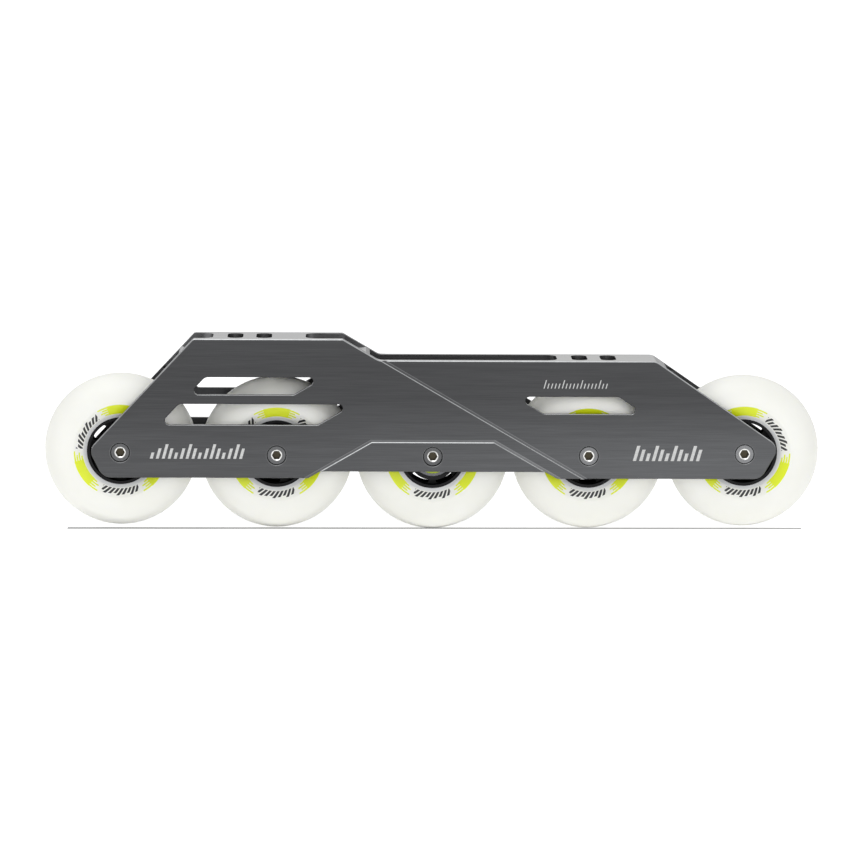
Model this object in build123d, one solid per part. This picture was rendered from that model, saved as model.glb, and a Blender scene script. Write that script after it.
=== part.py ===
from build123d import *
import os
from math import atan2, degrees, pi, radians, sin, sqrt, tan

# An inline skate frame with its wheels mounted, in millimetres.
# +X points to the toe, +Z up, and the axle heads are on the -Y side.
# The origin is on the ground under the middle wheel.

# One overrun serves every cut that has to pass a face
overrun = 10.0

# Wheels and their spacing
wheel_count = 5
wheel_diameter = 80.0
wheel_width = 24.0
wheel_gap = 1.5
rocker_radius = 8000.0

# Side plates, as one machined channel open at the bottom, wide enough for the wheels
side_clearance = 1.2
plate_wall = 2.8
neck_step = 1.5
neck_clearance = 2.5
edge_bevel = 0.5
headroom = 6.3
toe_platform = 4.0
heel_platform = 8.3
heel_rise = 11.1
pocket_floor = 1.2
plate_drop = 11.5
belly_rise = 3.6
belly_half = 58.8
belly_slope = 30.0

# Ends of the plates, measured from the outermost axles
nose_reach = 18.4
nose_rise = 5.5
nose_foot = 8.8
tail_reach = 16.3
tail_rise = 3.1
tail_foot = 9.0
toe_slope = 34.5
tail_slope = 47.0
heel_slope = 30.3
heel_foot_x = -28.2

# Corner radii of the side outline
tip_radius = 6.0
foot_radius = 7.0
heel_crest_radius = 2.0
toe_crest_radius = 6.0
dip_radius = 7.0
belly_radius = 2.5

# Raised layers on the outer faces: a flat ramp and then a steeper bright rim
ramp_rise = 0.25
ramp_run = 1.3
rim_rise = 0.35
rim_run = 0.45
strut_lead = 1.8
panel_rise = 8.9
panel_half = 32.3
panel_slope = 30.0

# Windows through both plates: how far the lower edge is below the wheels' tops, height and corner places
window_sharp_radius = 2.2
window_wide_radius = 4.0
window_bevel = 0.25
brace_slope = 30.3
upper_window_drop = 7.87
upper_window_height = 9.3
upper_window_back = -127.4
upper_window_front = -72.5
lower_window_drop = 23.67
lower_window_height = 11.0
lower_window_back = -142.6
lower_window_front = -60.0
toe_window_drop = 17.55
toe_window_height = 9.15
toe_window_back = 57.9
toe_window_front = 110.4

# Mounting slots and the openings of the platforms
slot_width = 8.2
slot_length = 21.0
slot_middle_x = -5.7
short_pattern = 165.0
pattern_step = 30.0
pocket_radius = 6.0
rear_pocket_x = -114.8
front_pocket_x = -66.5
toe_platform_x = 64.9

# Axles: a socket head in the near plate, a thread in the far plate
shaft_diameter = 8.0
shaft_clearance = 0.03
head_radius = 4.95
head_height = 2.0
head_recess = 0.2
head_clearance = 0.2
head_bevel = 0.3
mouth_bevel = 0.25
socket_across = 4.0
socket_depth = 3.0
socket_mouth_radius = 3.05
socket_mouth_share = 0.7
thread_diameter = 7.0
thread_clearance = 0.03
thread_length = 3.2
thread_bevel = 0.4
boss_slope_run = 1.3
boss_land = 0.15

# Ball bearings, two in each wheel
bearing_bore = 8.0
bearing_outer = 22.0
bearing_width = 7.0
bearing_bevel = 0.3
ball_count = 7
ball_diameter = 3.969
race_clearance = 0.05
land_offset = 1.45
seal_bite = 0.55
seal_gap = 0.1
seal_thickness = 0.5
seal_recess = 0.15
cage_wall = 1.7
cage_back = 2.4
cage_front = 1.0
spacer_wall = 1.6
spacer_clearance = 0.05

# Wheel core and tyre
hub_wall = 2.0
hub_recess = 0.5
shoulder_height = 1.3
web_half = 4.5
spoke_count = 7
spoke_width = 3.6
kidney_height = 2.8
kidney_radius = 14.5
core_turns = (38.6, 1.9, 38.6, 12.9, 11.6)
rim_radius = 17.6
rim_wall = 1.6
rim_inset = 2.4
anchor_radius = 21.5
anchor_half = 3.5
tread_radius = 8.5
widest_radius = 24.5
bead_radius = 20.0
bead_inset = 1.4

# Places and sizes worked out from the driving ones
wheel_radius = wheel_diameter / 2
axle_pitch = wheel_diameter + wheel_gap
end_axle_x = (wheel_count - 1) / 2 * axle_pitch
wheel_half = wheel_width / 2
rim_half = wheel_half - rim_inset
bead_half = wheel_half - bead_inset
channel_half = wheel_half + side_clearance
neck_half = channel_half - neck_step
plate_half = channel_half + plate_wall
layer_rise = ramp_rise + rim_rise
strut_half = plate_half + layer_rise
panel_face_half = strut_half + layer_rise
axle_face_halves = (strut_half, strut_half, panel_face_half, plate_half, plate_half)
toe_under = wheel_diameter + headroom
toe_top = toe_under + toe_platform
heel_top = toe_top + heel_rise
heel_under = heel_top - heel_platform
plate_low = wheel_radius - plate_drop
belly_low = plate_low + belly_rise
head_face = plate_half - head_recess
head_seat = head_face - head_height
bearing_middle = wheel_half - bearing_width / 2
bearing_gap = wheel_width - 2 * bearing_width
pitch_radius = (bearing_bore + bearing_outer) / 4
ball_radius = ball_diameter / 2
race_radius = ball_radius + race_clearance
inner_land = pitch_radius - land_offset
outer_land = pitch_radius + land_offset


def axle_places():
    """Gives (x, z) of every axle from heel to toe: they lie on a wide arc, lowest in the middle."""
    places = []
    for index in range(wheel_count):
        x = index * axle_pitch - end_axle_x
        lift = rocker_radius - sqrt(rocker_radius**2 - x**2)
        places.append((x, wheel_radius + lift))
    return places


def run_of(rise, slope):
    """Gives the level distance that a slope in degrees needs for a rise."""
    return rise / tan(radians(slope))


def rounded_face(corners):
    """Makes a flat face from (across, up, corner radius) triples."""
    face = make_face(Polyline(*[(x, z) for x, z, _ in corners], close=True)).face()
    for x, z, radius in corners:
        if radius:
            corner = face.vertices().sort_by_distance((x, z, 0))[0]
            face = face.fillet_2d(radius, [corner])
    return face


def prism(face, half):
    """Stands a side-view face upright and thickens it to both sides of the middle."""
    return extrude(Plane.XZ * face, amount=half, both=True)


def both_sides(near_piece):
    """Adds the mirror image of a piece on the far side."""
    return near_piece + mirror(near_piece, about=Plane.XZ)


def cap(face, foot, rise, run):
    """Makes the end of a side-view prism from foot outwards: positive run leans in, negative flares out."""
    return extrude(Plane.XZ.offset(foot) * face, amount=rise, taper=degrees(atan2(run, rise)))


def side_outline():
    """Draws the side plate: heel block, toe deck, sloped ends and the raised belly."""
    nose_x = end_axle_x + nose_reach
    nose_z = wheel_radius + nose_rise
    tail_x = -end_axle_x - tail_reach
    tail_z = wheel_radius + tail_rise
    belly_foot = belly_half + run_of(belly_rise, belly_slope)
    return rounded_face(
        [
            (tail_x, tail_z, tip_radius),
            (tail_x + run_of(heel_top - tail_z, tail_slope), heel_top, heel_crest_radius),
            (heel_foot_x - run_of(heel_rise, heel_slope), heel_top, heel_crest_radius),
            (heel_foot_x, toe_top, dip_radius),
            (nose_x - run_of(toe_top - nose_z, toe_slope), toe_top, toe_crest_radius),
            (nose_x, nose_z, tip_radius),
            (end_axle_x + nose_foot, plate_low, foot_radius),
            (belly_foot, plate_low, belly_radius),
            (belly_half, belly_low, belly_radius),
            (-belly_half, belly_low, belly_radius),
            (-belly_foot, plate_low, belly_radius),
            (-end_axle_x - tail_foot, plate_low, foot_radius),
        ]
    )


def bevelled_plate(outline, half):
    """Thickens the side outline to a half width and cuts the bright bevel round both faces."""
    solid = prism(outline, half)
    rims = [edge for face in solid.faces().filter_by(Axis.Y) for edge in face.edges()]
    return chamfer(rims, edge_bevel)


def raised_region(corners, half):
    """Makes the block that a raised layer keeps: upright inside, then the ramp and the rim."""
    face = rounded_face([(x, z, 0) for x, z in corners])
    ramp = cap(face, half, ramp_rise, ramp_run)
    rim_face = ramp.faces().sort_by(Axis.Y)[0]
    rim = extrude(rim_face, amount=rim_rise, taper=degrees(atan2(rim_run, rim_rise)))
    return prism(face, half) + both_sides(ramp + rim)


def strut_region():
    """Covers the heel and the strut that runs down from it, up to the slanting step."""
    top = heel_top + overrun
    low = plate_low - overrun
    back = -end_axle_x - tail_reach - overrun
    lead = heel_foot_x + strut_lead / sin(radians(heel_slope))
    return raised_region(
        [
            (back, low),
            (back, top),
            (lead - run_of(top - toe_top, heel_slope), top),
            (lead + run_of(toe_top - low, heel_slope), low),
        ],
        plate_half,
    )


def panel_region():
    """Covers the trapezoid panel round the middle axle, the highest of the layers."""
    top = wheel_radius + panel_rise
    low = plate_low - overrun
    foot = panel_half + run_of(top - low, panel_slope)
    corners = [(-foot, low), (-panel_half, top), (panel_half, top), (foot, low)]
    return raised_region(corners, strut_half)


def window(low, height, back, front, back_slope, front_slope, half):
    """Cuts a slanted window through both plates, rounder in its wide corners and bevelled outside."""
    radii = (window_sharp_radius, window_wide_radius)
    here, there = radii if back_slope > 0 else reversed(radii)
    face = rounded_face(
        [
            (back, low, here),
            (back + run_of(height, back_slope), low + height, there),
            (front + run_of(height, front_slope), low + height, here),
            (front, low, there),
        ]
    )
    flare = cap(face, half - window_bevel, window_bevel + layer_rise, -window_bevel - layer_rise)
    return prism(face, half + overrun) + both_sides(flare)


def windows():
    """Cuts the two heel windows and the toe window."""
    upper = window(
        wheel_diameter - upper_window_drop,
        upper_window_height,
        upper_window_back,
        upper_window_front,
        tail_slope,
        brace_slope,
        strut_half,
    )
    lower = window(
        wheel_diameter - lower_window_drop,
        lower_window_height,
        lower_window_back,
        lower_window_front,
        tail_slope,
        brace_slope,
        strut_half,
    )
    toe = window(
        wheel_diameter - toe_window_drop,
        toe_window_height,
        toe_window_back,
        toe_window_front,
        -brace_slope,
        -toe_slope,
        plate_half,
    )
    return [upper, lower, toe]


def wheel_channel():
    """Cuts the space for the wheels: wide beside the tyres, then narrower between the top rails."""
    neck_low = wheel_diameter + neck_clearance
    neck_high = neck_low + channel_half - neck_half
    section = make_face(
        Polyline(
            (-channel_half, plate_low - overrun),
            (-channel_half, neck_low),
            (-neck_half, neck_high),
            (-neck_half, toe_under),
            (neck_half, toe_under),
            (neck_half, neck_high),
            (channel_half, neck_low),
            (channel_half, plate_low - overrun),
            close=True,
        )
    )
    length = end_axle_x + nose_reach + tail_reach + overrun
    return extrude(Plane.YZ * section, amount=length, both=True)


def level_cut(back, front, low, high, back_radius, front_radius):
    """Cuts between the top rails from above, with rounded ends in plan."""
    face = rounded_face(
        [
            (back, -neck_half, back_radius),
            (back, neck_half, back_radius),
            (front, neck_half, front_radius),
            (front, -neck_half, front_radius),
        ]
    )
    return extrude(Pos(0, 0, low) * face, amount=high - low)


def platform_cuts():
    """Cuts the space under the heel platform, the open deck and the two heel pockets."""
    back = -end_axle_x - tail_reach - overrun
    floor_top = heel_under + pocket_floor
    above = heel_top + overrun
    deck = level_cut(back, toe_platform_x, toe_under - overrun, heel_under, 0, pocket_radius)
    rear_pocket = level_cut(back, rear_pocket_x, floor_top, above, 0, pocket_radius)
    front_pocket = level_cut(front_pocket_x, toe_platform_x, floor_top, above, pocket_radius, 0)
    return [deck, rear_pocket, front_pocket]


def slot_places():
    """Gives (x, platform top) of each slot: a short and a long boot pattern about one middle."""
    places = []
    for pattern in (short_pattern, short_pattern + pattern_step):
        places.append((slot_middle_x - pattern / 2, heel_top))
        places.append((slot_middle_x + pattern / 2, toe_top))
    return places


def mounting_slots():
    """Cuts the crosswise slots down through the platforms."""
    slot = Rot(0, 0, 90) * SlotOverall(slot_length, slot_width)
    depth = heel_platform + overrun
    return [extrude(Pos(x, 0, top + overrun) * slot, amount=-overrun - depth) for x, top in slot_places()]


def along_axle(x, z, radius, start, end):
    """Makes a round bar across the frame from one Y to another."""
    return Pos(x, (start + end) / 2, z) * Rot(90, 0, 0) * Cylinder(radius, end - start)


def axle_boss(x, z):
    """Adds the cones inside the plates that press on the inner bearing rings."""
    tip = inner_land - boss_land
    length = channel_half - wheel_half
    cone = Rot(-90, 0, 0) * Cone(tip, tip + boss_slope_run, length)
    return both_sides(Pos(x, -wheel_half - length / 2, z) * Rot(180, 0, 0) * cone)


def axle_holes(x, z, face_half):
    """Cuts the bevelled counterbore and the plain hole near the head, and the tapped hole opposite."""
    wide = head_radius + head_clearance
    bore = along_axle(x, z, shaft_diameter / 2 + shaft_clearance, -head_seat - shaft_clearance, 0)
    counterbore = along_axle(x, z, wide, -panel_face_half - overrun, -head_seat)
    tapped = along_axle(x, z, thread_diameter / 2 + thread_clearance, 0, panel_face_half + overrun)
    mouth = make_face(
        Polyline(
            (0, -face_half - overrun),
            (wide + mouth_bevel + overrun, -face_half - overrun),
            (wide, -face_half + mouth_bevel),
            (0, -face_half + mouth_bevel),
            close=True,
        )
    )
    return [bore, counterbore, tapped, Pos(x, 0, z) * lathe(mouth)]


def chassis():
    """Machines the one-piece frame from its layered side plates."""
    outline = side_outline()
    solid = bevelled_plate(outline, plate_half)
    solid += bevelled_plate(outline, strut_half) & strut_region()
    solid += bevelled_plate(outline, panel_face_half) & panel_region()
    solid -= wheel_channel()
    for cut in platform_cuts() + mounting_slots() + windows():
        solid -= cut
    for x, z in axle_places():
        solid += axle_boss(x, z)
    for (x, z), face_half in zip(axle_places(), axle_face_halves):
        for cut in axle_holes(x, z, face_half):
            solid -= cut
    return solid


def lathe(section):
    """Turns a section, drawn as distance from the axle and place along it, about the Y axis."""
    return revolve(section, Axis.Y)


def band(inner, outer, low, high):
    """Draws one rectangle of a turned section."""
    return Pos((inner + outer) / 2, (low + high) / 2) * Rectangle(outer - inner, high - low)


def axle():
    """Makes the screw axle: socket head, plain shaft and thread."""
    shaft_radius = shaft_diameter / 2 - shaft_clearance
    thread_radius = thread_diameter / 2
    shaft_end = wheel_half
    thread_end = shaft_end + thread_length
    section = make_face(
        Polyline(
            (0, -head_face),
            (head_radius - head_bevel, -head_face),
            (head_radius, -head_face + head_bevel),
            (head_radius, -head_seat),
            (shaft_radius, -head_seat),
            (shaft_radius, shaft_end),
            (thread_radius, shaft_end),
            (thread_radius, thread_end - thread_bevel),
            (thread_radius - thread_bevel, thread_end),
            (0, thread_end),
            close=True,
        )
    )
    hexagon = Plane.XZ.offset(head_face) * RegularPolygon(socket_across / 2, 6, major_radius=False)
    socket = extrude(hexagon, amount=-socket_depth)
    mouth = make_face(
        Polyline(
            (0, -head_face),
            (socket_mouth_radius, -head_face),
            (0, -head_face + socket_mouth_radius * socket_mouth_share),
            close=True,
        )
    )
    return lathe(section) - socket - lathe(mouth)


def spacer():
    """Makes the tube that keeps the inner rings of one wheel apart."""
    inner = shaft_diameter / 2 + spacer_clearance
    return lathe(band(inner, inner + spacer_wall, -bearing_gap / 2, bearing_gap / 2))


def in_both_bearings(piece):
    """Places a bearing piece on the near side and its mirror image on the far side."""
    return both_sides(Pos(0, -bearing_middle, 0) * piece)


def inner_rings():
    """Makes the inner rings with their ball grooves."""
    half = bearing_width / 2
    section = band(bearing_bore / 2, inner_land, -half, half)
    section -= Pos(pitch_radius, 0) * Circle(race_radius)
    return in_both_bearings(lathe(section))


def outer_rings():
    """Makes the outer rings with their ball grooves and the ledges that hold the seals."""
    half = bearing_width / 2
    ledge = half - seal_recess - seal_thickness
    section = band(outer_land, bearing_outer / 2, -half, half)
    section = chamfer(section.vertices().group_by(Axis.X)[-1], bearing_bevel)
    section -= band(outer_land, outer_land + seal_bite, -half, -ledge)
    section -= band(outer_land, outer_land + seal_bite, ledge, half)
    section -= Pos(pitch_radius, 0) * Circle(race_radius)
    return in_both_bearings(lathe(section))


def seals():
    """Makes the two seal discs of each bearing, just clear of the inner ring."""
    outside = bearing_width / 2 - seal_recess
    inside = outside - seal_thickness
    inner = inner_land + seal_gap
    outer = outer_land + seal_bite
    section = band(inner, outer, inside, outside) + band(inner, outer, -outside, -inside)
    return in_both_bearings(lathe(section))


def ball_turns():
    """Gives the turn about the axle that brings each ball of one bearing to its place."""
    return [Rot(0, 360 * index / ball_count, 0) for index in range(ball_count)]


def balls():
    """Makes the balls of both bearings."""
    ball = Pos(pitch_radius, 0, 0) * Sphere(ball_radius)
    return in_both_bearings(Compound(children=[turn * ball for turn in ball_turns()]))


def cages():
    """Makes the crown cages: rings with a snap pocket bored inwards round every ball."""
    half_wall = cage_wall / 2
    ring = lathe(band(pitch_radius - half_wall, pitch_radius + half_wall, -cage_front, cage_back))
    pocket = Pos(pitch_radius, 0, 0) * Rot(0, 90, 0) * Cylinder(race_radius, cage_wall * 2)
    for turn in ball_turns():
        ring -= turn * pocket
    return in_both_bearings(ring)


def core():
    """Makes the spoked wheel core with both bearing seats and the rib that anchors the tyre."""
    hub_inner = bearing_outer / 2
    hub_outer = hub_inner + hub_wall
    hub_half = wheel_half - hub_recess
    section = band(hub_inner - shoulder_height, hub_inner + hub_wall / 2, -bearing_gap / 2, bearing_gap / 2)
    section += band(hub_inner, hub_outer, -hub_half, hub_half)
    section += band(hub_outer - hub_wall / 2, rim_radius, -web_half, web_half)
    section += band(rim_radius - rim_wall, rim_radius, -rim_half, rim_half)
    section += band(rim_radius - rim_wall, anchor_radius, -anchor_half, anchor_half)
    solid = lathe(section)
    round_end = kidney_height / 2 / kidney_radius
    sweep = 2 * pi / spoke_count - spoke_width / kidney_radius - 2 * round_end
    middle_line = CenterArc((0, 0), kidney_radius, -degrees(sweep) / 2, degrees(sweep))
    kidney = prism(SlotArc(middle_line, kidney_height), web_half + overrun)
    for index in range(spoke_count):
        solid -= Rot(0, 360 * index / spoke_count, 0) * kidney
    return solid


def tyre():
    """Makes the tyre: a round tread, tangent flanks, leaning sides and a groove for the anchor rib."""
    tread_middle = wheel_radius - tread_radius
    lean = tread_middle - widest_radius
    flank_radius = (lean**2 + wheel_half**2 - tread_radius**2) / 2 / (wheel_half - tread_radius)
    turn = degrees(atan2(flank_radius - wheel_half, lean))
    flank_middle = flank_radius - wheel_half
    profile = [
        CenterArc((widest_radius, flank_middle), flank_radius, -90, 90 - turn),
        CenterArc((tread_middle, 0), tread_radius, -turn, 2 * turn),
        CenterArc((widest_radius, -flank_middle), flank_radius, turn, 90 - turn),
        Polyline(
            (widest_radius, wheel_half),
            (bead_radius, bead_half),
            (rim_radius, rim_half),
            (rim_radius, anchor_half),
            (anchor_radius, anchor_half),
            (anchor_radius, -anchor_half),
            (rim_radius, -anchor_half),
            (rim_radius, -rim_half),
            (bead_radius, -bead_half),
            (widest_radius, -wheel_half),
        ),
    ]
    return lathe(make_face(profile))


def write(name, piece):
    """Writes one sub-part as a group of its solids."""
    group = Compound(children=list(piece.solids()))
    group.label = name
    export_step(group, os.path.join("parts", name + ".step"))


def main():
    os.makedirs("parts", exist_ok=True)
    write("chassis", chassis())
    wheel_core = core()
    pieces = {
        "axle": axle(),
        "tyre": tyre(),
        "spacer": spacer(),
        "inner_rings": inner_rings(),
        "outer_rings": outer_rings(),
        "cages": cages(),
        "balls": balls(),
        "seals": seals(),
    }
    for number, ((x, z), turn) in enumerate(zip(axle_places(), core_turns), start=1):
        write(f"core_{number}", Pos(x, 0, z) * Rot(0, -turn, 0) * wheel_core)
        for name, piece in pieces.items():
            write(f"{name}_{number}", Pos(x, 0, z) * piece)


main()
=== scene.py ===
import math

import bmesh
import bpy
from mathutils import Matrix, Vector


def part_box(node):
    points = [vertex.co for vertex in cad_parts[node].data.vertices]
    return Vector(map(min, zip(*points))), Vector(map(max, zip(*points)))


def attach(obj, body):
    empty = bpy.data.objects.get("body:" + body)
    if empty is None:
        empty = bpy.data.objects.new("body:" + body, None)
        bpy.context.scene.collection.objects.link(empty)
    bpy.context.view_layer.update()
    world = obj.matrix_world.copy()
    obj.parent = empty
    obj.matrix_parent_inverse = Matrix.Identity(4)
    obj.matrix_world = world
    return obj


# Looks of an inline skate frame. Metres, +X to the toe, +Z up, axle heads on the -Y side.
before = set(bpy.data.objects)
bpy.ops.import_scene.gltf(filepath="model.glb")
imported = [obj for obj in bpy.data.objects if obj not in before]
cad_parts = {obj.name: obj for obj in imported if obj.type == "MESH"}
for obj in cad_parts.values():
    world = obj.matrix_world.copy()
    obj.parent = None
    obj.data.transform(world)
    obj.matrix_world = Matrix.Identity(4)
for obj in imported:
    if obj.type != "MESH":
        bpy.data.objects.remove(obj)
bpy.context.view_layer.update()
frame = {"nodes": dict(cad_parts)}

MM = 0.001

# Camera, fitted to the axle heads, the wheels and the platform edges: turn is yaw, pitch and roll
CAMERA_PLACE = (-0.05799, -2.44025, 0.38503)
CAMERA_TURN = (-1.3335, -7.7735, -0.356)
CAMERA_LENS = 196.47
CAMERA_SENSOR = 36.0
CAMERA_CLIP = (0.01, 100.0)

# Lamps as name, place, size and power, and the levels of the world, the floor and the ground line
LAMPS = (
    ("key", (-0.6, -0.8, 2.0), 1.8, 10.0),
    ("fill", (0.5, -1.9, 0.35), 1.2, 3.5),
)
LAMP_TARGET = (0, 0, 0.05)
WORLD_TINT = (0.98, 0.99, 1.0, 1.0)
WORLD_LEVEL = 0.76
FLOOR_REACH = 40.0
FLOOR_GLOW_SHOWN = 0.5
FLOOR_GLOW_LIT = 0.24
LINE_GLOW = 0.26

# Thin line on the ground, corners at the left and the right end
GROUND_LINE = ((-0.1912, -0.00225), (0.1950, 0.0021), (0.1950, -0.0013), (-0.1912, -0.00715))
LINE_HEIGHT = 0.02 * MM

# Outer faces of the layered side plates, and the arc the axles lie on
PLATE_FACE = 16.0 * MM
STRUT_FACE = 16.6 * MM
LAYER_STEP = STRUT_FACE - PLATE_FACE
AXLE_PITCH = 81.5 * MM
AXLE_HEIGHT = 40.0 * MM
ROCKER_RADIUS = 8.0
WHEEL_COUNT = 5

# Stretch of a noise's values that is spread out, and the strengths of bumps
NOISE_SPAN = (0.3, 0.7)
BUMP_STRONG = 0.5
BUMP_GENTLE = 0.4

# Plate: grains to the metre of its brushed lines and clouds, and the depth of the lines
BRUSH_FINE = (45.0, 1500.0, 2400.0)
BRUSH_BROAD = (14.0, 260.0, 420.0)
PLATE_CLOUD = 14.0
NICK_COUNT = 300.0
BRUSH_DEPTH = 0.003 * MM

# Plate: spread of brightness by its fine lines, broad lines and clouds, and of roughness
FINE_LEVEL = (0.91, 1.09)
BROAD_LEVEL = (-0.05, 0.05)
CLOUD_LEVEL = (0.98, 1.02)
BRUSH_ROUGHNESS = (0.32, 0.42)
BARE_LIT_POLISH = -0.12

# Plate: stretches over which its outside begins and over which its painted shade and the painted
# sheen of its tops change
OUTSIDE = (14.8 * MM, 15.2 * MM)
SHADE_ALONG = (-150 * MM, 150 * MM)
SHADE_UP = (34 * MM, 76 * MM)
TOP_SHEEN_ALONG = (-60 * MM, 60 * MM)
PLATFORM_UP = (86 * MM, 88 * MM)
DECK_WALL_UP = (78 * MM, 84 * MM)
HEEL_PLATFORM_END = -46 * MM
TOE_PLATFORM_START = 62 * MM

# Plate: shares of the painted light on the inner walls of the platforms and of the deck, and
# upward share of the normal on the tops that get a painted sheen
INNER_WALL_LIGHT_SHARE = 0.7
DECK_WALL_LIGHT_SHARE = 0.45
LEVEL_TOP = (0.9, 0.97)

# Plate: painted highlight as a pale ring round each axle head, lifting the shade of its gap, and
# the mouth where painted shade keeps the bevel darker
HEAD_GLINT_RING = (4.9 * MM, 5.5 * MM)
HEAD_GLINT_SOFT = 0.06 * MM
HEAD_GLINT_SHARE = 0.45
HEAD_MOUTH = 5.6 * MM
MOUTH_SHADE = -0.75

# Plate: sideways share of the normal on cut rims and on ramps, and heights above a layer's foot
RIM_SIDE = (0.4, 0.82)
RIM_SOFT = 0.015
RAMP_SIDE = (0.9, 0.99)
RAMP_SOFT = 0.004
RIM_CREST = (0.44 * MM, 0.52 * MM)
RAMP_LIP = (0.04 * MM, 0.06 * MM)
SECOND_LAYER = (0.58 * MM, 0.62 * MM)

# Plate: how bare these edges are and how strong their painted highlight is, and how fast the
# painted highlight grows as they turn up
CREST_BARE_LIT = 0.3
LIP_BARE_LIT = 0.17
FIRST_RAMP_BARE_LIT = 0.02
SECOND_RAMP_BARE_LIT = 0.1
SLANTED_ALONG = (0.03, 0.06)
HIGHLIGHT_RISE_POWER = 1.3
NICK_SPAN = (0.3, 0.6)
NICK_LEVEL = (0.85, 1.0)

# Plate colours: its painted shade from low down to high up, and the painted light of the ring
# round the heads, the inner walls, the tops and the bare bevels
PLATE_LIT_LOW_HEEL = (0.082, 0.083, 0.086)
PLATE_LIT_LOW_TOE = (0.103, 0.105, 0.109)
PLATE_SHADED_HIGH = (0.0585, 0.059, 0.061)
HEAD_GLINT_COLOUR = (0.25, 0.255, 0.26)
INNER_WALL_LIGHT_COLOUR = (0.2, 0.2, 0.205)
HEEL_TOP_SHEEN_COLOUR = (0.355, 0.357, 0.36)
TOE_TOP_SHEEN_COLOUR = (0.385, 0.387, 0.385)
BARE_LIT_COLOUR = (0.54, 0.55, 0.56)

# Tyre: grains to the metre, depth of the moulding seam and relief of the flecks
TYRE_CLOUD = 60.0
TYRE_FLECK = 900.0
SEAM_DEPTH = 0.02 * MM
FLECK_RELIEF = 0.015

# Tyre: share, reach by colour and depth of the milkiness, and spread of roughness
MILKINESS = 0.3
MILK_REACH = (1.0, 1.0, 0.85)
MILK_DEPTH = 3.0 * MM
FLECK_ROUGHNESS = (0.302, 0.318)
CLOUD_ROUGHNESS = (-0.02, 0.02)

# Tyre: shares of the normal over which painted shade darkens the tread and the two ends, and how
# dark
TREAD_SIDE = (0.0, 0.5)
END_ALONG = (0.2, 0.9)
EDGE_SHADE_TONE = 0.93

# Tyre: flank, bead ring and moulding seam, radii from the axle
FLANK = (8.5 * MM, 9.0 * MM)
BEAD_RING = (16.6 * MM, 19.3 * MM)
BEAD_SOFT = 0.3 * MM
SEAM_HALF = 0.12 * MM
SEAM_SOFT = 0.08 * MM
MILKY_WARM = (0.92, 0.915, 0.855)
MILKY_PALE = (0.94, 0.935, 0.88)
BEAD_COLOUR = (0.80, 0.805, 0.80)

# Tyre print: ring, and the solid part of each line or bar as a share of its pitch
PRINT_RING = (19.7 * MM, 24.6 * MM)
PRINT_SOFT = 0.06 * MM
STRIPE = (0.18, 0.82)
STRIPE_SOFT = 0.05

# Tyre print: three arcs with ragged ends, angles in degrees
FIRST_ARC = 90.0
HALF_SECTOR = 60.0
ARC_REACH = 17.0
RAGGED_LEAST = 6.0
RAGGED_SPREAD = 8.0
RAGGED_ORDER = 0.618
LINE_PITCH = 1.22 * MM
ARC_COLOUR = (0.80, 0.90, 0.012)

# Tyre print: leaning bars between the arcs, in three heights
BAR_ZONE = 33.5
BAR_PITCH = 6.0
BAR_LEAN = 1900.0
BAR_HEIGHTS = 3.0
BAR_STEP = -0.5 * MM
BAR_TOP = 23.3 * MM
BAR_COLOUR = (0.02, 0.02, 0.022)

# Axle: socket with its cone, lip and mouth, turning marks and thread
SOCKET_FLATS = (2.1 * MM, 2.2 * MM)
SOCKET_MOUTH = (2.75 * MM, 2.95 * MM)
SOCKET_LIP = (2.85 * MM, 3.05 * MM)
LIP_SOFT = 0.08 * MM
SOCKET_WALL = (3.1 * MM, 3.2 * MM)
SOCKET_SPAN = (-15.7 * MM, -5.0 * MM)
SPAN_SOFT = 0.05 * MM
CONE_SIDE = (0.5, 0.93)
CONE_SOFT = 0.03
TURNED_PITCH = 0.12 * MM
TURNED_COUNT = 2500.0
THREAD_PITCH = 1.0 * MM
THREAD_DEPTH = 0.2 * MM
THREAD_START = (12.0 * MM, 12.2 * MM)

# Axle: how pale the cone and the lip are, and how much of the cone's shine is left past its mouth
CONE_PALE = 0.95
LIP_PALE = 0.15
CONE_LEFT = 0.1
CONE_POLISH = -0.1

# Axle: spread of brightness by its grain and turning rings, of roughness, and the rings' relief
SATIN_LEVEL = (0.88, 1.12)
RING_LEVEL = (0.96, 1.04)
SATIN_ROUGHNESS = (0.24, 0.36)
RING_RELIEF = 0.02
# Colour of the painted shade inside the hex socket, and of the polished cone and lip
SOCKET_SHADE_COLOUR = (0.055, 0.048, 0.034)
POLISHED_COLOUR = (0.92, 0.92, 0.90)

# Brightness of the axle heads from heel to toe, a painted shade that is deeper on heads sunk
# deeper in the plate, and how much bluer than grey they are
HEAD_SHADE_TONES = (0.11, 0.12, 0.1, 0.18, 0.2)
HEAD_CAST = (1.0, 1.01, 1.04)

# Core: sideways share of the normal where its openings end, and gloss and roughness
OPENING_SIDE = (0.3, 0.8)
CORE_GLOSS = 0.15
CORE_ROUGHNESS = (0.34, 0.5)

# Core: grains to the metre, grain depth and colours
CORE_GRAIN = 1800.0
CORE_CLOUD = 120.0
CORE_DEPTH = 0.02 * MM
CORE_DARK = (0.006, 0.006, 0.007)
CORE_PALE = (0.011, 0.011, 0.012)

# Inner metal: depth of tool marks, and what they do to brightness and roughness
TOOL_MARK_DEPTH = 0.004 * MM
MARK_LEVEL = (0.88, 1.1)
MARK_ROUGHNESS = (-0.06, 0.08)

# Moulded rubber and nylon: grains to the metre, depth and roughness of the grain
MOULDED_GRAIN = 1500.0
MOULDED_CLOUD = 200.0
MOULDED_DEPTH = 0.015 * MM
MOULDED_ROUGHNESS = (0.37, 0.53)

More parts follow.
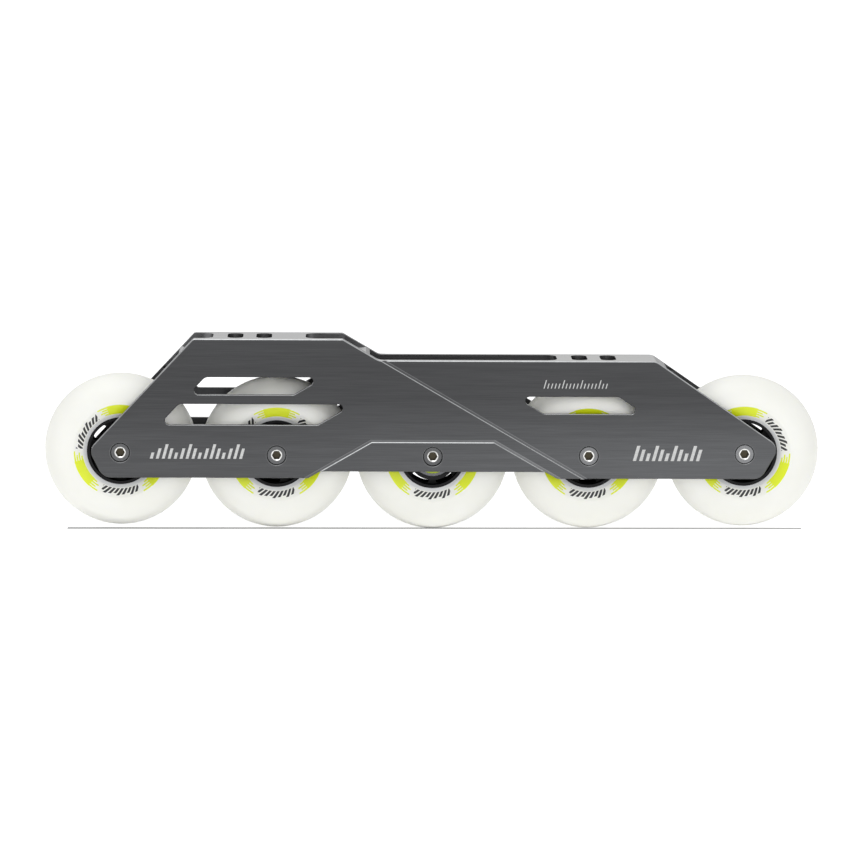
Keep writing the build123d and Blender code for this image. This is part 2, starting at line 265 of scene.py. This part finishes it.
# Printed bars on the near plate
PRINT_FILM = 0.02 * MM
PRINT_LEAN = 0.28
PRINT_GRAIN = (700.0, 700.0, 1400.0)
PRINT_DEPTH = 0.003 * MM
PRINT_ROUGHNESS = (0.4, 0.55)
PRINT_WORN = (0.54, 0.54, 0.535)
PRINT_FRESH = (0.65, 0.65, 0.64)


class Finish:
    """One procedural material and the node calls that build it."""

    def __init__(self, name, metallic, roughness):
        self.material = bpy.data.materials.new(name)
        self.material.use_nodes = True
        self.nodes = self.material.node_tree.nodes
        self.links = self.material.node_tree.links
        self.shader = self.nodes["Principled BSDF"]
        self.set("Metallic", metallic)
        self.set("Roughness", roughness)
        coordinates = self.nodes.new("ShaderNodeTexCoord")
        self.place = coordinates.outputs["Object"]
        self.normal = coordinates.outputs["Normal"]

    def feed(self, socket, value):
        """Links a socket to a node's output, or writes a plain value on it."""
        if isinstance(value, bpy.types.NodeSocket):
            self.links.new(value, socket)
        else:
            socket.default_value = value

    def set(self, name, value):
        """Feeds one of the shader's own sockets."""
        self.feed(self.shader.inputs[name], value)

    def math(self, operation, *values):
        node = self.nodes.new("ShaderNodeMath")
        node.operation = operation
        for socket, value in zip(node.inputs, values):
            self.feed(socket, value)
        return node.outputs[0]

    def add(self, first, second):
        return self.math("ADD", first, second)

    def minus(self, first, second):
        return self.math("SUBTRACT", first, second)

    def times(self, first, second):
        return self.math("MULTIPLY", first, second)

    def over(self, first, second):
        return self.math("DIVIDE", first, second)

    def size(self, value):
        return self.math("ABSOLUTE", value)

    def length(self, first, second):
        """Gives the length of the line that goes first one way and second across."""
        squares = [self.times(part, part) for part in (first, second)]
        return self.math("SQRT", self.add(*squares))

    def vector(self, operation, *values):
        node = self.nodes.new("ShaderNodeVectorMath")
        node.operation = operation
        for socket, value in zip(node.inputs, values):
            self.feed(socket, value)
        return node.outputs[0]

    def axes(self, vector):
        node = self.nodes.new("ShaderNodeSeparateXYZ")
        self.feed(node.inputs[0], vector)
        return node.outputs

    def ramp(self, value, low, high, start=0.0, end=1.0):
        """Turns smoothly from start to end as value goes from low to high."""
        node = self.nodes.new("ShaderNodeMapRange")
        node.interpolation_type = "SMOOTHSTEP"
        for index, number in enumerate((value, low, high, start, end)):
            self.feed(node.inputs[index], number)
        return node.outputs[0]

    def inside(self, value, low, high, soft):
        """Is 1 between low and high, with edges of the given softness."""
        rise = self.ramp(value, low - soft, low + soft)
        fall = self.ramp(value, high - soft, high + soft, 1.0, 0.0)
        return self.times(rise, fall)

    def noise(self, stretch, detail=3.0):
        """Makes a noise with this many grains to the metre, along all axes or each."""
        counts = stretch if isinstance(stretch, tuple) else (stretch, stretch, stretch)
        node = self.nodes.new("ShaderNodeTexNoise")
        self.feed(node.inputs["Vector"], self.vector("MULTIPLY", self.place, counts))
        node.inputs["Scale"].default_value = 1.0
        node.inputs["Detail"].default_value = detail
        return node.outputs["Fac"]

    def spread(self, noise, start=0.0, end=1.0):
        """Spreads a noise, which stays near its middle, from start to end."""
        return self.ramp(noise, *NOISE_SPAN, start, end)

    def mix(self, factor, first, second):
        node = self.nodes.new("ShaderNodeMix")
        node.data_type = "RGBA"
        self.feed(node.inputs[0], factor)
        for socket, colour in ((node.inputs[6], first), (node.inputs[7], second)):
            self.feed(socket, (*colour, 1.0) if isinstance(colour, tuple) else colour)
        return node.outputs[2]

    def tint(self, colour, level):
        """Scales a colour by a level."""
        node = self.nodes.new("ShaderNodeVectorMath")
        node.operation = "SCALE"
        self.feed(node.inputs[0], colour)
        self.feed(node.inputs["Scale"], level)
        return node.outputs[0]

    def bump(self, height, distance, strength):
        node = self.nodes.new("ShaderNodeBump")
        node.inputs["Strength"].default_value = strength
        node.inputs["Distance"].default_value = distance
        self.feed(node.inputs["Height"], height)
        self.set("Normal", node.outputs[0])


def wheel_centres():
    """Gives each wheel's centre, from heel to toe."""
    centres = []
    for number in range(1, WHEEL_COUNT + 1):
        low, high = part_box(f"tyre_{number}")
        centres.append((low + high) / 2)
    return centres


def axle_distance(f, x, z):
    """Gives the distance from the nearest axle in the side view."""
    nearest = f.times(f.math("ROUND", f.over(x, AXLE_PITCH)), AXLE_PITCH)
    lift = f.over(f.times(nearest, nearest), 2 * ROCKER_RADIUS)
    return f.length(f.minus(x, nearest), f.minus(z, f.add(lift, AXLE_HEIGHT)))


def bare_and_lit_edges(f, y, normal, outside, distance):
    """Says how bare the cut edges are, with a painted highlight that grows the more they look up:
    cut rims most, ramps a little, dimmed by painted shade in each head's mouth.
    """
    nx, ny, nz = normal
    side = f.size(ny)
    across = f.math("SQRT", f.minus(1.0001, f.times(ny, ny)))
    # painted highlight: grows as the edge looks up, and painted shade dims it in each head's mouth
    rise = f.math("MAXIMUM", f.over(nz, across), 0.0)
    mouth = f.math("LESS_THAN", distance, HEAD_MOUTH)
    mouth_shading = f.math("MULTIPLY_ADD", mouth, MOUTH_SHADE, 1.0)
    lit_from_above = f.times(f.math("POWER", rise, HIGHLIGHT_RISE_POWER), mouth_shading)
    layers = f.minus(f.size(y), PLATE_FACE)
    step = f.math("FLOORED_MODULO", layers, LAYER_STEP)
    rim = f.times(f.inside(side, *RIM_SIDE, RIM_SOFT), f.ramp(step, *RIM_CREST, 1.0, CREST_BARE_LIT))
    ramp = f.inside(side, *RAMP_SIDE, RAMP_SOFT)
    lip = f.times(f.ramp(step, *RAMP_LIP, LIP_BARE_LIT, 0.0), f.ramp(f.size(nx), *SLANTED_ALONG))
    slope = f.ramp(layers, *SECOND_LAYER, FIRST_RAMP_BARE_LIT, SECOND_RAMP_BARE_LIT)
    slanted = f.times(outside, f.math("MULTIPLY_ADD", ramp, f.add(lip, slope), rim))
    nick = f.ramp(f.noise(NICK_COUNT), *NICK_SPAN, *NICK_LEVEL)
    return f.times(f.times(slanted, lit_from_above), nick)


def plate_finish():
    """Brushed graphite anodising with painted shade that leaves it paler low down, a painted pale
    ring round each head, bare bevels with a painted highlight, and machined platforms with painted
    light on their inner walls and a painted sheen on their tops.
    """
    f = Finish("anodised_plate_finish", 1.0, 0.36)
    x, y, z = f.axes(f.place)
    normal = f.axes(f.normal)
    fine = f.noise(BRUSH_FINE)
    broad = f.noise(BRUSH_BROAD, 2.0)
    cloud = f.noise(PLATE_CLOUD, 2.0)
    streaks = f.add(f.spread(fine, *FINE_LEVEL), f.spread(broad, *BROAD_LEVEL))
    level = f.times(streaks, f.spread(cloud, *CLOUD_LEVEL))
    # painted shade: the plate is darker towards the top, and paler low down and towards the toe,
    # as the light fell on it
    low = f.mix(f.ramp(x, *SHADE_ALONG), PLATE_LIT_LOW_HEEL, PLATE_LIT_LOW_TOE)
    body = f.tint(f.mix(f.ramp(z, *SHADE_UP), low, PLATE_SHADED_HIGH), level)

    distance = axle_distance(f, x, z)
    near_side = f.math("LESS_THAN", y, 0.0)
    # painted highlight: a pale ring round each axle head on the near plate, lifting the shade of
    # the gap
    ring = f.times(near_side, f.inside(distance, *HEAD_GLINT_RING, HEAD_GLINT_SOFT))
    body = f.mix(f.times(ring, HEAD_GLINT_SHARE), body, HEAD_GLINT_COLOUR)

    outside = f.ramp(f.size(y), *OUTSIDE)
    high = f.ramp(z, *PLATFORM_UP)
    heel_part = f.math("LESS_THAN", x, HEEL_PLATFORM_END)
    toe_part = f.math("GREATER_THAN", x, TOE_PLATFORM_START)
    platforms = f.times(high, f.add(heel_part, toe_part))
    depth = f.math("MAXIMUM", platforms, f.ramp(z, *DECK_WALL_UP, 0.0, DECK_WALL_LIGHT_SHARE))
    # painted light: the shaded inner walls of the platforms and of the deck are coloured paler
    lit_inner_walls = f.times(f.minus(1.0, outside), depth)
    body = f.mix(f.times(lit_inner_walls, INNER_WALL_LIGHT_SHARE), body, INNER_WALL_LIGHT_COLOUR)

    # painted sheen: the up-facing platform tops are coloured pale, paler towards the toe
    sheen_top = f.times(f.ramp(normal[2], *LEVEL_TOP), high)
    sheen_top_colour = f.mix(f.ramp(x, *TOP_SHEEN_ALONG), HEEL_TOP_SHEEN_COLOUR, TOE_TOP_SHEEN_COLOUR)
    body = f.mix(sheen_top, body, f.tint(sheen_top_colour, level))

    # bare cut bevels with a painted highlight, and their polish
    bare_and_lit = bare_and_lit_edges(f, y, normal, outside, distance)
    f.set("Base Color", f.mix(bare_and_lit, body, BARE_LIT_COLOUR))
    f.set("Roughness", f.add(f.spread(fine, *BRUSH_ROUGHNESS), f.times(bare_and_lit, BARE_LIT_POLISH)))
    f.bump(fine, BRUSH_DEPTH, BUMP_STRONG)
    return f.material


def arc_print(f, radius, spread):
    """Says where the print's arcs are: lines of ragged length about each arc's middle."""
    lines = f.over(f.minus(radius, PRINT_RING[0]), LINE_PITCH)
    solid = f.inside(f.math("FRACT", lines), *STRIPE, STRIPE_SOFT)
    order = f.math("FRACT", f.times(f.math("FLOOR", lines), RAGGED_ORDER))
    ragged = f.add(f.times(order, RAGGED_SPREAD), RAGGED_LEAST)
    return f.math("LESS_THAN", spread, f.math("MULTIPLY_ADD", solid, ragged, ARC_REACH))


def bar_print(f, ring, radius, turn, spread):
    """Says where the print's leaning bars are: between the arcs, in heights that repeat."""
    lean = f.times(f.minus(radius, PRINT_RING[0]), BAR_LEAN)
    count = f.over(f.add(f.add(turn, 360.0), lean), BAR_PITCH)
    bar = f.inside(f.math("FRACT", count), *STRIPE, STRIPE_SOFT)
    index = f.math("MODULO", f.math("FLOOR", count), BAR_HEIGHTS)
    low = f.math("LESS_THAN", radius, f.math("MULTIPLY_ADD", index, BAR_STEP, BAR_TOP))
    zone = f.math("GREATER_THAN", spread, BAR_ZONE)
    return f.times(f.times(ring, bar), f.times(low, zone))


def tyre_finish(number, centre):
    """Milky urethane with painted shade on the tread and the two ends, a pale bead ring and a
    generic three-part print on both sides.
    """
    f = Finish(f"urethane_finish_{number}", 0.0, 0.3)
    x, y, z = f.axes(f.vector("SUBTRACT", f.place, tuple(centre)))
    nx, ny, _ = f.axes(f.normal)
    cloud = f.noise(TYRE_CLOUD, 2.0)
    fleck = f.noise(TYRE_FLECK, 2.0)
    # painted shade: the tread and the two ends of the tyre are coloured darker
    tread = f.ramp(f.size(ny), *TREAD_SIDE, EDGE_SHADE_TONE, 1.0)
    ends = f.ramp(f.size(nx), *END_ALONG, 1.0, EDGE_SHADE_TONE)
    milky = f.tint(f.mix(f.spread(cloud), MILKY_WARM, MILKY_PALE), f.times(tread, ends))

    radius = f.length(x, z)
    flank = f.ramp(f.size(y), *FLANK)
    bead = f.times(flank, f.inside(radius, *BEAD_RING, BEAD_SOFT))
    colour = f.mix(bead, milky, BEAD_COLOUR)
    ring = f.times(flank, f.inside(radius, *PRINT_RING, PRINT_SOFT))
    turn = f.math("DEGREES", f.math("ARCTAN2", z, x))
    spread = f.size(f.math("WRAP", f.minus(turn, FIRST_ARC), HALF_SECTOR, -HALF_SECTOR))
    colour = f.mix(f.times(ring, arc_print(f, radius, spread)), colour, ARC_COLOUR)
    f.set("Base Color", f.mix(bar_print(f, ring, radius, turn, spread), colour, BAR_COLOUR))

    f.set("Subsurface Weight", MILKINESS)
    f.set("Subsurface Radius", MILK_REACH)
    f.set("Subsurface Scale", MILK_DEPTH)
    grain = f.add(f.spread(fleck, *FLECK_ROUGHNESS), f.spread(cloud, *CLOUD_ROUGHNESS))
    f.set("Roughness", grain)
    seam = f.inside(y, -SEAM_HALF, SEAM_HALF, SEAM_SOFT)
    f.bump(f.add(seam, f.times(fleck, FLECK_RELIEF)), SEAM_DEPTH, BUMP_GENTLE)
    return f.material


def outside_hexagon(f, x, z):
    """Rises from 0 to 1 where the socket's flats end and its cone begins."""
    reach = f.size(z)
    for sign in (-1.0, 1.0):
        flat = f.math("MULTIPLY_ADD", x, sign * math.sin(math.radians(60)), f.times(z, 0.5))
        reach = f.math("MAXIMUM", reach, f.size(flat))
    return f.ramp(reach, *SOCKET_FLATS)


def axle_finish(number, centre, tone):
    """Satin screw head with a painted shade of its own tone, a polished socket mouth, a socket
    darkened by painted shade and a fine thread.
    """
    f = Finish(f"axle_steel_finish_{number}", 1.0, 0.3)
    x, y, z = f.axes(f.vector("SUBTRACT", f.place, tuple(centre)))
    _, ny, _ = f.axes(f.normal)
    radius = f.length(x, z)
    cone = f.times(f.inside(f.size(ny), *CONE_SIDE, CONE_SOFT), outside_hexagon(f, x, z))
    cone = f.times(cone, f.ramp(radius, *SOCKET_MOUTH, 1.0, CONE_LEFT))
    lip = f.inside(radius, *SOCKET_LIP, LIP_SOFT)
    pale = f.math("MAXIMUM", f.times(cone, CONE_PALE), f.times(lip, LIP_PALE))
    inner = f.ramp(radius, *SOCKET_WALL, 1.0, 0.0)
    # painted shade: the inside of the hex socket is coloured dark
    socket_shade_mask = f.times(inner, f.inside(y, *SOCKET_SPAN, SPAN_SOFT))
    dark = f.times(socket_shade_mask, f.minus(1.0, cone))

    turned = f.noise(TURNED_COUNT, 2.0)
    rings = f.math("FRACT", f.over(radius, TURNED_PITCH))
    level = f.times(f.spread(turned, *SATIN_LEVEL), f.ramp(rings, 0.0, 1.0, *RING_LEVEL))
    # painted shade: each head's tone is darker the deeper the head sits
    satin = tuple(tone * share for share in HEAD_CAST)
    face = f.tint(f.mix(pale, satin, POLISHED_COLOUR), level)
    f.set("Base Color", f.mix(dark, face, SOCKET_SHADE_COLOUR))
    f.set("Roughness", f.add(f.spread(turned, *SATIN_ROUGHNESS), f.times(cone, CONE_POLISH)))
    thread = f.math("PINGPONG", f.over(y, THREAD_PITCH), 0.5)
    screw = f.times(thread, f.ramp(y, *THREAD_START))
    f.bump(f.add(screw, f.times(rings, RING_RELIEF)), THREAD_DEPTH, BUMP_STRONG)
    return f.material


def core_finish():
    """Black moulded plastic, half glossy, with a fine moulded grain and matt openings."""
    f = Finish("core_plastic_finish", 0.0, 0.3)
    _, ny, _ = f.axes(f.normal)
    grain = f.noise(CORE_GRAIN)
    cloud = f.noise(CORE_CLOUD, 2.0)
    f.set("Base Color", f.mix(f.spread(cloud), CORE_DARK, CORE_PALE))
    f.set("Specular IOR Level", f.ramp(f.size(ny), *OPENING_SIDE, 0.0, CORE_GLOSS))
    f.set("Roughness", f.spread(grain, *CORE_ROUGHNESS))
    f.bump(grain, CORE_DEPTH, BUMP_GENTLE)
    return f.material


def metal_finish(name, colour, roughness, marks_count):
    """Plain worked metal with fine tool marks."""
    f = Finish(name, 1.0, roughness)
    marks = f.noise(marks_count)
    smooth, rough = (roughness + change for change in MARK_ROUGHNESS)
    f.set("Base Color", f.tint(colour, f.spread(marks, *MARK_LEVEL)))
    f.set("Roughness", f.spread(marks, smooth, rough))
    f.bump(marks, TOOL_MARK_DEPTH, BUMP_STRONG)
    return f.material


def moulded_finish(name, dark, pale):
    """Moulded rubber or nylon with a matt grain."""
    f = Finish(name, 0.0, 0.45)
    grain = f.noise(MOULDED_GRAIN)
    cloud = f.noise(MOULDED_CLOUD, 2.0)
    f.set("Base Color", f.mix(f.spread(cloud), dark, pale))
    f.set("Roughness", f.spread(grain, *MOULDED_ROUGHNESS))
    f.bump(grain, MOULDED_DEPTH, BUMP_STRONG)
    return f.material


def print_finish():
    """Pale screen print, slightly worn."""
    f = Finish("pale_print_finish", 0.0, 0.45)
    grain = f.noise(PRINT_GRAIN)
    f.set("Base Color", f.mix(f.spread(grain), PRINT_WORN, PRINT_FRESH))
    f.set("Roughness", f.spread(grain, *PRINT_ROUGHNESS))
    f.bump(grain, PRINT_DEPTH, BUMP_STRONG)
    return f.material


def dress_nodes():
    """Gives every CAD node its finish."""
    nodes = frame["nodes"]
    shared = {
        "core": core_finish(),
        "spacer": metal_finish("spacer_alloy_finish", (0.72, 0.72, 0.73), 0.3, 900.0),
        "inner_rings": metal_finish("ground_ring_finish", (0.6, 0.6, 0.61), 0.24, 1200.0),
        # painted shade: the steel outer rings are coloured dark, standing in for the shade they
        # sit in and the dark plate they reflect
        "outer_rings": metal_finish("outer_ring_shaded_finish", (0.13, 0.13, 0.14), 0.3, 1200.0),
        "balls": metal_finish("ball_steel_finish", (0.84, 0.84, 0.85), 0.14, 400.0),
        "cages": moulded_finish("cage_nylon_finish", (0.74, 0.69, 0.52), (0.82, 0.78, 0.62)),
        "seals": moulded_finish("seal_rubber_finish", (0.44, 0.56, 0.012), (0.52, 0.64, 0.02)),
    }
    nodes["chassis"].material_slots[0].material = plate_finish()
    for number, (centre, tone) in enumerate(zip(wheel_centres(), HEAD_SHADE_TONES), start=1):
        finishes = {"tyre": tyre_finish(number, centre), "axle": axle_finish(number, centre, tone)}
        for kind, finish in (finishes | shared).items():
            nodes[f"{kind}_{number}"].material_slots[0].material = finish


def place_mesh(name, mesh):
    """Puts a mesh into the scene as an object of its own."""
    piece = bpy.data.objects.new(name, mesh)
    bpy.context.scene.collection.objects.link(piece)
    return piece


def slanted_bars(name, ink, face, foot, start, pitch, width, heights, count):
    """Prints a row of bars that lean forwards, all but the face in millimetres."""
    work = bmesh.new()
    for number in range(count):
        height = heights[number % len(heights)]
        shift = PRINT_LEAN * height
        outline = [(0.0, 0.0), (width, 0.0), (width + shift, height), (shift, height)]
        corners = [((start + pitch * number + a) * MM, (foot + b) * MM) for a, b in outline]
        back = [work.verts.new((x, -face, z)) for x, z in corners]
        front = [work.verts.new((x, -face - PRINT_FILM, z)) for x, z in corners]
        work.faces.new(front)
        work.faces.new(back[::-1])
        for index, after in ((0, 1), (1, 2), (2, 3), (3, 0)):
            work.faces.new((front[after], front[index], back[index], back[after]))
    bmesh.ops.recalc_face_normals(work, faces=work.faces)
    mesh = bpy.data.meshes.new(name)
    work.to_mesh(mesh)
    work.free()
    mesh.materials.append(ink)
    piece = place_mesh(name, mesh)
    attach(piece, "frame")


def print_marks():
    """Adds the generic printed marks on the near plate."""
    ink = print_finish()
    slanted_bars(
        "heel_print_bars", ink, STRUT_FACE, foot=38.6,
        start=-147.5, pitch=3.1, width=1.5, heights=(3.2, 5.4, 7.6, 5.4), count=16,
    )
    slanted_bars(
        "toe_print_bars", ink, PLATE_FACE, foot=38.0,
        start=104.5, pitch=3.3, width=1.7, heights=(8.0, 6.0, 4.0), count=11,
    )
    slanted_bars(
        "deck_print_scale", ink, PLATE_FACE, foot=76.0,
        start=57.5, pitch=1.9, width=0.5, heights=(4.4, 2.6, 2.6, 2.6, 2.6), count=18,
    )


def shown_or_lit(nodes, links, shown, lit):
    """Shows one shader to the eye, in gloss and in glass, and the other to plain light."""
    path = nodes.new("ShaderNodeLightPath")
    seen = path.outputs["Is Camera Ray"]
    for name in ("Is Glossy Ray", "Is Transmission Ray"):
        either = nodes.new("ShaderNodeMath")
        either.operation = "MAXIMUM"
        links.new(seen, either.inputs[0])
        links.new(path.outputs[name], either.inputs[1])
        seen = either.outputs[0]
    choice = nodes.new("ShaderNodeMixShader")
    links.new(seen, choice.inputs[0])
    links.new(lit, choice.inputs[1])
    links.new(shown, choice.inputs[2])
    return choice.outputs[0]


def plain_world():
    """Makes the soft even light of the room, and white behind it."""
    world = bpy.data.worlds.new("studio")
    bpy.context.scene.world = world
    world.use_nodes = True
    nodes, links = world.node_tree.nodes, world.node_tree.links
    ambient = nodes["Background"]
    ambient.inputs["Color"].default_value = WORLD_TINT
    ambient.inputs["Strength"].default_value = WORLD_LEVEL
    white = nodes.new("ShaderNodeBackground")
    white.inputs["Color"].default_value = (1.0, 1.0, 1.0, 1.0)
    seen = shown_or_lit(nodes, links, white.outputs[0], ambient.outputs[0])
    links.new(seen, nodes["World Output"].inputs["Surface"])


def matt_paint(name, tone):
    """Makes a plain matt grey paint and gives it with its shader."""
    paint = bpy.data.materials.new(name)
    paint.use_nodes = True
    matt = paint.node_tree.nodes["Principled BSDF"]
    matt.inputs["Base Color"].default_value = (tone, tone, tone, 1.0)
    matt.inputs["Roughness"].default_value = 0.9
    matt.inputs["Specular IOR Level"].default_value = 0.0
    return paint, matt


def pale_floor():
    """Lays a wide floor that takes the object's shadow."""
    reach = FLOOR_REACH
    corners = [(-reach, -reach, 0), (reach, -reach, 0), (reach, reach, 0), (-reach, reach, 0)]
    mesh = bpy.data.meshes.new("floor")
    mesh.from_pydata(corners, [], [(0, 1, 2, 3)])
    place_mesh("floor", mesh)
    paint, matt = matt_paint("floor_paint", 0.9)
    nodes, links = paint.node_tree.nodes, paint.node_tree.links
    parts = []
    for strength in (FLOOR_GLOW_SHOWN, FLOOR_GLOW_LIT):
        glow = nodes.new("ShaderNodeEmission")
        glow.inputs["Strength"].default_value = strength
        both = nodes.new("ShaderNodeAddShader")
        links.new(matt.outputs[0], both.inputs[0])
        links.new(glow.outputs[0], both.inputs[1])
        parts.append(both.outputs[0])
    links.new(shown_or_lit(nodes, links, *parts), nodes["Material Output"].inputs["Surface"])
    mesh.materials.append(paint)


def ground_line():
    """Lays the thin grey line that marks the ground, as pale in shadow as in light."""
    mesh = bpy.data.meshes.new("ground_line")
    mesh.from_pydata([(x, y, LINE_HEIGHT) for x, y in GROUND_LINE], [], [(3, 2, 1, 0)])
    place_mesh("ground_line", mesh)
    paint, matt = matt_paint("line_paint", 0.01)
    matt.inputs["Emission Color"].default_value = (1.0, 1.0, 1.0, 1.0)
    matt.inputs["Emission Strength"].default_value = LINE_GLOW
    mesh.materials.append(paint)


def soft_lamps():
    """Hangs the two soft lamps and turns them to the object."""
    for name, place, size, power in LAMPS:
        lamp = bpy.data.lights.new(name, "AREA")
        lamp.size = size
        lamp.energy = power
        holder = bpy.data.objects.new(name, lamp)
        holder.location = place
        aim = Vector(LAMP_TARGET) - Vector(place)
        holder.rotation_euler = aim.to_track_quat("-Z", "Y").to_euler()
        bpy.context.scene.collection.objects.link(holder)


def photo_camera():
    """Places the camera as in the photograph."""
    data = bpy.data.cameras.new("camera")
    data.lens = CAMERA_LENS
    data.sensor_width = CAMERA_SENSOR
    data.clip_start, data.clip_end = CAMERA_CLIP
    camera = bpy.data.objects.new("camera", data)
    bpy.context.scene.collection.objects.link(camera)
    yaw, pitch, roll = (math.radians(angle) for angle in CAMERA_TURN)
    turn = Matrix.Rotation(yaw, 4, "Z") @ Matrix.Rotation(pitch, 4, "X")
    turn = turn @ Matrix.Rotation(roll, 4, "Y") @ Matrix.Rotation(math.pi / 2, 4, "X")
    camera.matrix_world = Matrix.Translation(CAMERA_PLACE) @ turn
    bpy.context.scene.camera = camera


dress_nodes()
print_marks()
plain_world()
pale_floor()
soft_lamps()
ground_line()
photo_camera()
bpy.context.scene.view_settings.view_transform = "Standard"
